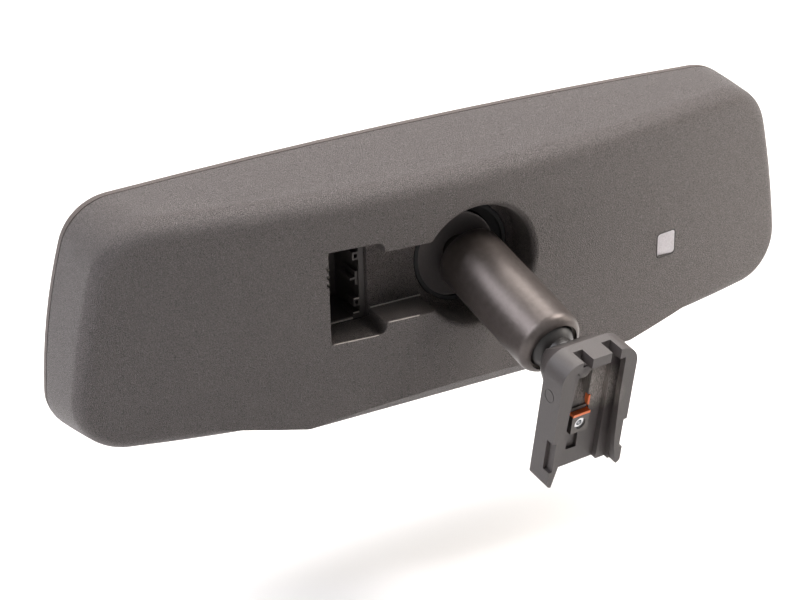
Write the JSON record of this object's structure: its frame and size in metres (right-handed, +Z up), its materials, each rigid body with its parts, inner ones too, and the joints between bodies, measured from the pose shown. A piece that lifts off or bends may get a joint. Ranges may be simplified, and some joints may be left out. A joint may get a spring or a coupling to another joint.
{
  "type": "interior rearview mirror",
  "caption": "Auto-dimming interior rearview mirror head on a double-ball arm, with a foot that slides over a windshield button.",
  "frame": {"origin": "middle of the windshield button's place in the foot's channel", "axes": "+X along the mirror head, +Y from the head towards the windshield, +Z up, with the head square to the axes"},
  "size_m": [0.26, 0.1028, 0.0865],
  "materials": {
    "housing": "moulded fine grain, satin",
    "bezel": "moulded fine grain, satin",
    "front_glass": "polished clear",
    "rear_glass": "polished, reflective coating behind the gel",
    "gel": "clear gel",
    "seal": "cured epoxy",
    "clip_metal": "tinned",
    "foam": "foam tape",
    "carrier": "moulded",
    "board": "solder mask",
    "chips": "moulded epoxy",
    "screw_steel": "zinc plated",
    "switch": "moulded",
    "key": "moulded satin",
    "connector": "moulded",
    "pin_metal": "tin and gold flash",
    "milky_lens": "translucent milky",
    "smoked_lens": "smoked clear",
    "green_lens": "translucent",
    "sensor": "clear epoxy over a chip",
    "bracket_steel": "dark coat, matt",
    "stud_steel": "dark phosphate",
    "arm_paint": "satin dark grey paint",
    "liner": "natural nylon",
    "cup": "natural acetal",
    "spring_steel": "oiled spring wire",
    "foot_paint": "dark grey paint on die casting",
    "block_steel": "dark steel",
    "set_screw": "bright steel",
    "orange": "moulded orange"
  },
  "bodies": {
    "foot": {"mount_foot": "foot_paint", "screw_block": "block_steel", "set_screw": "set_screw", "screw_keeper": "orange"},
    "foot_liner": {"foot_ball_liner": "liner"},
    "foot_cup": {"foot_ball_cup": "cup"},
    "arm": {"arm_tube": "arm_paint", "arm_spring": "spring_steel", "head_ball_cup": "cup"},
    "head_liner": {"head_ball_liner": "liner"},
    "head": {"rear_housing": "housing", "front_bezel": "bezel", "front_glass": "front_glass", "rear_glass": "rear_glass", "cell_gel": "gel", "cell_seal": "seal", "bus_clips": "clip_metal", "cell_pad": "foam", "carrier_plate": "carrier", "circuit_board": "board", "board_chips": "chips", "board_screws": "screw_steel", "bracket_screws": "screw_steel", "tact_switches": "switch", "connector_shroud": "connector", "connector_pins": "pin_metal", "ambient_lens": "milky_lens", "ambient_sensor": "sensor", "glare_sensor": "sensor", "glare_lens": "smoked_lens", "indicator_led": "sensor", "indicator_lens": "green_lens", "mount_bracket": "bracket_steel", "ball_stud": "stud_steel"},
    "dim_key": {"dim_key": "key"},
    "menu_key": {"menu_key": "key"}
  },
  "joints": [
    {"name": "foot_swivel", "type": "hinge", "parent": "foot", "child": "foot_liner", "pos_m": [0.00193, -0.01927, 0.0148], "axis": [-0.0182, 0.1822, 0.9831], "range_deg": [-14, 14]},
    {"name": "foot_tilt", "type": "hinge", "parent": "foot_liner", "child": "foot_cup", "pos_m": [0.00193, -0.01927, 0.0148], "axis": [0.995, 0.0995, 0], "range_deg": [-14, 24]},
    {"name": "arm_twist", "type": "hinge", "parent": "foot_cup", "child": "arm", "pos_m": [0.00193, -0.01927, 0.0148], "axis": [-0.0851, 0.9526, -0.292], "range_deg": [-20, 20]},
    {"name": "head_swivel", "type": "hinge", "parent": "arm", "child": "head_liner", "pos_m": [0.00521, -0.05604, 0.02607], "axis": [0, 0, 1], "range_deg": [-10, 18]},
    {"name": "head_tilt", "type": "hinge", "parent": "head_liner", "child": "head", "pos_m": [0.00521, -0.05604, 0.02607], "axis": [1, 0, 0], "range_deg": [-36, 3]},
    {"name": "dim_key_press", "type": "slide", "parent": "head", "child": "dim_key", "axis": [0, 1, 0], "range_m": [0, 0.0006], "stiffness_N_per_m": 3000, "springref_m": -0.0003},
    {"name": "menu_key_press", "type": "slide", "parent": "head", "child": "menu_key", "axis": [0, 1, 0], "range_m": [0, 0.0006], "stiffness_N_per_m": 3000, "springref_m": -0.0003}
  ]
}
